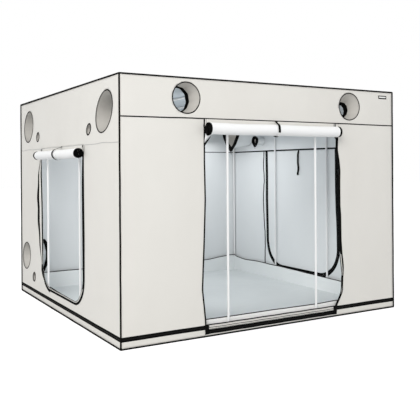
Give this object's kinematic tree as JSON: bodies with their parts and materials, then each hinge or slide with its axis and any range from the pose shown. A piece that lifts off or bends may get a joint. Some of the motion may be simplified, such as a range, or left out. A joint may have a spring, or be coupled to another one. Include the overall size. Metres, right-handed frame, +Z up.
{
  "type": "indoor grow tent",
  "caption": "Walk-in grow tent: tube frame in a zipped off-white cloth cover with roll-up doors, duct sleeves, floor tray and sliding roof bars.",
  "frame": {"origin": "centre of the footprint on the underside of the floor sheet", "axes": "+Z up, the front wall with the wide doorway faces -Y, the wall with the rolled side door faces -X"},
  "size_m": [3.1114, 3.1234, 2.206],
  "materials": {
    "white_cloth": "matte",
    "lining": "satin",
    "black_tape": "matte",
    "black_webbing": "matte",
    "white_tube": "gloss",
    "slider_metal": "satin"
  },
  "bodies": {
    "root": {"bottom_connector_front_left": "white_tube", "top_connector_front_left": "white_tube", "corner_post_front_left": "white_tube", "bottom_connector_front_right": "white_tube", "top_connector_front_right": "white_tube", "corner_post_front_right": "white_tube", "bottom_connector_back_left": "white_tube", "top_connector_back_left": "white_tube", "corner_post_back_left": "white_tube", "bottom_connector_back_right": "white_tube", "top_connector_back_right": "white_tube", "corner_post_back_right": "white_tube", "bottom_rail_front": "white_tube", "top_rail_front": "white_tube", "bottom_rail_back": "white_tube", "top_rail_back": "white_tube", "bottom_rail_left": "white_tube", "top_rail_left": "white_tube", "bottom_rail_right": "white_tube", "top_rail_right": "white_tube", "front_post_left": "white_tube", "front_post_right": "white_tube", "back_post_left": "white_tube", "back_post_right": "white_tube", "left_post_front": "white_tube", "left_post_back": "white_tube", "right_post_front": "white_tube", "right_post_back": "white_tube", "front_wall": "white_cloth", "back_wall": "white_cloth", "left_wall": "white_cloth", "right_wall": "white_cloth", "roof_panel": "white_cloth", "floor_sheet": "lining", "spill_tray": "lining", "edge_piping": "black_tape", "front_door_strap": "black_webbing", "left_door_strap": "black_webbing"},
    "front_door_roll": {"front_door_roll": "white_cloth"},
    "left_door_roll": {"left_door_roll": "white_cloth"},
    "right_door": {"right_door": "white_cloth"},
    "right_door_strap": {"right_door_strap": "black_webbing"},
    "front_zip_slider": {"front_zip_slider": "slider_metal"},
    "left_zip_slider": {"left_zip_slider": "slider_metal"},
    "right_zip_slider": {"right_zip_slider": "slider_metal"},
    "roof_bar_left": {"roof_bar_left": "white_tube"},
    "roof_bar_right": {"roof_bar_right": "white_tube"},
    "front_duct_sleeve_left": {"front_duct_sleeve_left": "white_cloth"},
    "front_duct_sleeve_right": {"front_duct_sleeve_right": "white_cloth"},
    "left_duct_sleeve_front": {"left_duct_sleeve_front": "white_cloth"},
    "left_duct_sleeve_back": {"left_duct_sleeve_back": "white_cloth"},
    "left_duct_sleeve_low": {"left_duct_sleeve_low": "white_cloth"},
    "left_port_sleeve_front": {"left_port_sleeve_front": "white_cloth"},
    "left_port_sleeve_back": {"left_port_sleeve_back": "white_cloth"},
    "left_port_sleeve_low": {"left_port_sleeve_low": "white_cloth"},
    "right_duct_sleeve_front": {"right_duct_sleeve_front": "white_cloth"},
    "right_duct_sleeve_back": {"right_duct_sleeve_back": "white_cloth"},
    "right_port_sleeve_front": {"right_port_sleeve_front": "white_cloth"},
    "right_port_sleeve_back": {"right_port_sleeve_back": "white_cloth"}
  },
  "joints": [
    {"name": "front_door_unroll", "type": "slide", "parent": "root", "child": "front_door_roll", "axis": [0, 0, -1], "range_m": [0, 1.605], "deforming": ["front_door_strap"]},
    {"name": "left_door_unroll", "type": "slide", "parent": "root", "child": "left_door_roll", "axis": [0, 0, -1], "range_m": [0, 1.35], "deforming": ["left_door_strap"]},
    {"name": "right_door_lift", "type": "hinge", "parent": "root", "child": "right_door", "pos_m": [1.5, 0, 1.655], "axis": [0, -1, 0], "range_deg": [0, 100]},
    {"name": "right_door_strap_swing", "type": "hinge", "parent": "root", "child": "right_door_strap", "pos_m": [1.49695, 0.03, 1.655], "axis": [0, 1, 0], "range_deg": [0, 60]},
    {"name": "front_zip", "type": "slide", "parent": "root", "child": "front_zip_slider", "axis": [0, 0, -1], "range_m": [0, 1.6]},
    {"name": "left_zip", "type": "slide", "parent": "root", "child": "left_zip_slider", "axis": [0, 0, -1], "range_m": [0, 1.1]},
    {"name": "right_zip", "type": "slide", "parent": "root", "child": "right_zip_slider", "axis": [0, 0, -1], "range_m": [0, 1.1]},
    {"name": "roof_bar_left_slide", "type": "slide", "parent": "root", "child": "roof_bar_left", "axis": [1, 0, 0], "range_m": [-0.175, 0.19]},
    {"name": "roof_bar_right_slide", "type": "slide", "parent": "root", "child": "roof_bar_right", "axis": [1, 0, 0], "range_m": [-0.19, 0.19]},
    {"name": "front_duct_sleeve_left_pull", "type": "slide", "parent": "root", "child": "front_duct_sleeve_left", "axis": [0, -1, 0], "range_m": [0, 0.24], "deforming": ["front_duct_sleeve_left"]},
    {"name": "front_duct_sleeve_right_pull", "type": "slide", "parent": "root", "child": "front_duct_sleeve_right", "axis": [0, -1, 0], "range_m": [0, 0.24], "deforming": ["front_duct_sleeve_right"]},
    {"name": "left_duct_sleeve_front_pull", "type": "slide", "parent": "root", "child": "left_duct_sleeve_front", "axis": [-1, 0, 0], "range_m": [0, 0.5], "deforming": ["left_duct_sleeve_front"]},
    {"name": "left_duct_sleeve_back_pull", "type": "slide", "parent": "root", "child": "left_duct_sleeve_back", "axis": [-1, 0, 0], "range_m": [0, 0.5], "deforming": ["left_duct_sleeve_back"]},
    {"name": "left_duct_sleeve_low_pull", "type": "slide", "parent": "root", "child": "left_duct_sleeve_low", "axis": [-1, 0, 0], "range_m": [0, 0.4], "deforming": ["left_duct_sleeve_low"]},
    {"name": "left_port_sleeve_front_pull", "type": "slide", "parent": "root", "child": "left_port_sleeve_front", "axis": [-1, 0, 0], "range_m": [0, 0.24], "deforming": ["left_port_sleeve_front"]},
    {"name": "left_port_sleeve_back_pull", "type": "slide", "parent": "root", "child": "left_port_sleeve_back", "axis": [-1, 0, 0], "range_m": [0, 0.24], "deforming": ["left_port_sleeve_back"]},
    {"name": "left_port_sleeve_low_pull", "type": "slide", "parent": "root", "child": "left_port_sleeve_low", "axis": [-1, 0, 0], "range_m": [0, 0.24], "deforming": ["left_port_sleeve_low"]},
    {"name": "right_duct_sleeve_front_pull", "type": "slide", "parent": "root", "child": "right_duct_sleeve_front", "axis": [1, 0, 0], "range_m": [0, 0.5], "deforming": ["right_duct_sleeve_front"]},
    {"name": "right_duct_sleeve_back_pull", "type": "slide", "parent": "root", "child": "right_duct_sleeve_back", "axis": [1, 0, 0], "range_m": [0, 0.5], "deforming": ["right_duct_sleeve_back"]},
    {"name": "right_port_sleeve_front_pull", "type": "slide", "parent": "root", "child": "right_port_sleeve_front", "axis": [1, 0, 0], "range_m": [0, 0.24], "deforming": ["right_port_sleeve_front"]},
    {"name": "right_port_sleeve_back_pull", "type": "slide", "parent": "root", "child": "right_port_sleeve_back", "axis": [1, 0, 0], "range_m": [0, 0.24], "deforming": ["right_port_sleeve_back"]}
  ]
}
